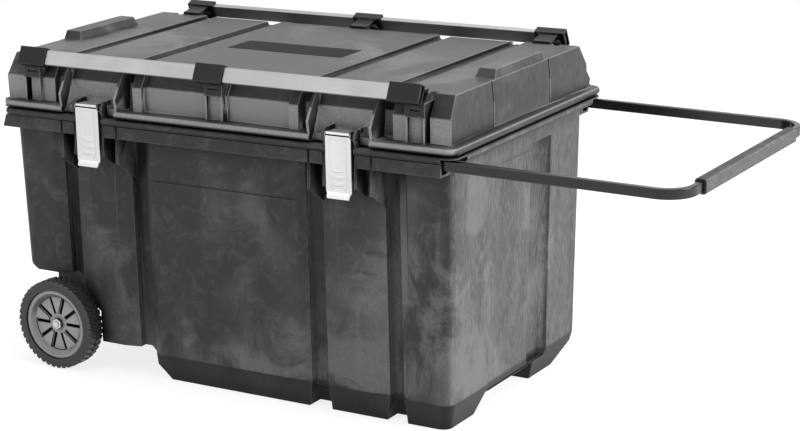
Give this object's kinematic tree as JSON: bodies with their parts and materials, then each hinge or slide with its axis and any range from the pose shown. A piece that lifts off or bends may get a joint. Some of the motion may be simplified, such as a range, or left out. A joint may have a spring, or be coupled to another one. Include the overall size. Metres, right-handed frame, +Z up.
{
  "type": "jobsite storage box",
  "caption": "Wheeled plastic job chest with a hinged hollow lid, draw latches, metal lid rails, a pull-out U handle and rubber-tyred wheels on a steel axle.",
  "frame": {"origin": "on the floor, under the middle of the tub", "axes": "+X along the length towards the pull handle, +Y towards the hinges at the back, +Z up"},
  "size_m": [1.3281, 0.5825, 0.5993],
  "materials": {
    "tub_plastic": "moulded, dusty and scuffed",
    "lid_plastic": "moulded, dusty and scuffed",
    "clip_plastic": "moulded satin",
    "seal_rubber": "foam",
    "badge_plastic": "plain satin plate",
    "rail_aluminium": "satin anodised",
    "handle_steel": "satin black",
    "grip_rubber": "dimpled soft grip",
    "liner_plastic": "nylon",
    "wheel_plastic": "moulded grey",
    "tyre_rubber": "treaded rubber",
    "latch_steel": "zinc plated, pressed",
    "pin_steel": "zinc plated"
  },
  "bodies": {
    "box": {"tub": "tub_plastic", "axle": "pin_steel", "wheel_spacer_front": "liner_plastic", "wheel_spacer_back": "liner_plastic", "axle_nut_front": "pin_steel", "axle_nut_back": "pin_steel", "handle_guide_front": "liner_plastic", "handle_guide_back": "liner_plastic", "latch_pin_left": "pin_steel", "latch_pin_right": "pin_steel", "hinge_pin_left": "pin_steel", "hinge_pin_right": "pin_steel"},
    "lid": {"lid": "lid_plastic", "lid_seal": "seal_rubber", "badge_plate": "badge_plastic", "rail_front": "rail_aluminium", "rail_back": "rail_aluminium", "rail_clip_front_left": "clip_plastic", "rail_clip_front_middle": "clip_plastic", "rail_clip_front_right": "clip_plastic", "rail_clip_back_left": "clip_plastic", "rail_clip_back_middle": "clip_plastic", "rail_clip_back_right": "clip_plastic"},
    "handle": {"handle_frame": "handle_steel", "handle_grip": "grip_rubber", "handle_stop_front": "liner_plastic", "handle_stop_back": "liner_plastic"},
    "wheel_front": {"wheel_hub_front": "wheel_plastic", "tyre_front": "tyre_rubber"},
    "wheel_back": {"wheel_hub_back": "wheel_plastic", "tyre_back": "tyre_rubber"},
    "lever_left": {"latch_lever_left": "latch_steel", "claw_pin_left": "pin_steel"},
    "lever_right": {"latch_lever_right": "latch_steel", "claw_pin_right": "pin_steel"},
    "claw_left": {"latch_claw_left": "latch_steel"},
    "claw_right": {"latch_claw_right": "latch_steel"}
  },
  "joints": [
    {"name": "lid_hinge", "type": "hinge", "parent": "box", "child": "lid", "pos_m": [0, 0.287, 0.492], "axis": [-1, 0, 0], "range_deg": [0, 95]},
    {"name": "handle_slide", "type": "slide", "parent": "box", "child": "handle", "axis": [1, 0, 0], "range_m": [-0.366, 0]},
    {"name": "wheel_front_spin", "type": "hinge", "parent": "box", "child": "wheel_front", "pos_m": [-0.361, -0.262, 0.0837], "axis": [0, 1, 0], "continuous": true},
    {"name": "wheel_back_spin", "type": "hinge", "parent": "box", "child": "wheel_back", "pos_m": [-0.361, 0.262, 0.0837], "axis": [0, 1, 0], "continuous": true},
    {"name": "latch_left_lever", "type": "hinge", "parent": "box", "child": "lever_left", "pos_m": [-0.26, -0.278, 0.497], "axis": [-1, 0, 0], "range_deg": [0, 120]},
    {"name": "latch_left_claw", "type": "hinge", "parent": "lever_left", "child": "claw_left", "pos_m": [-0.26, -0.2792, 0.505], "axis": [-1, 0, 0], "range_deg": [-180, 0]},
    {"name": "latch_right_lever", "type": "hinge", "parent": "box", "child": "lever_right", "pos_m": [0.26, -0.278, 0.497], "axis": [-1, 0, 0], "range_deg": [0, 120]},
    {"name": "latch_right_claw", "type": "hinge", "parent": "lever_right", "child": "claw_right", "pos_m": [0.26, -0.2792, 0.505], "axis": [-1, 0, 0], "range_deg": [-180, 0]}
  ],
  "couplings": [
    {"joint": "latch_left_claw", "follows": "latch_left_lever", "ratio": -1.5},
    {"joint": "latch_right_claw", "follows": "latch_right_lever", "ratio": -1.5}
  ]
}
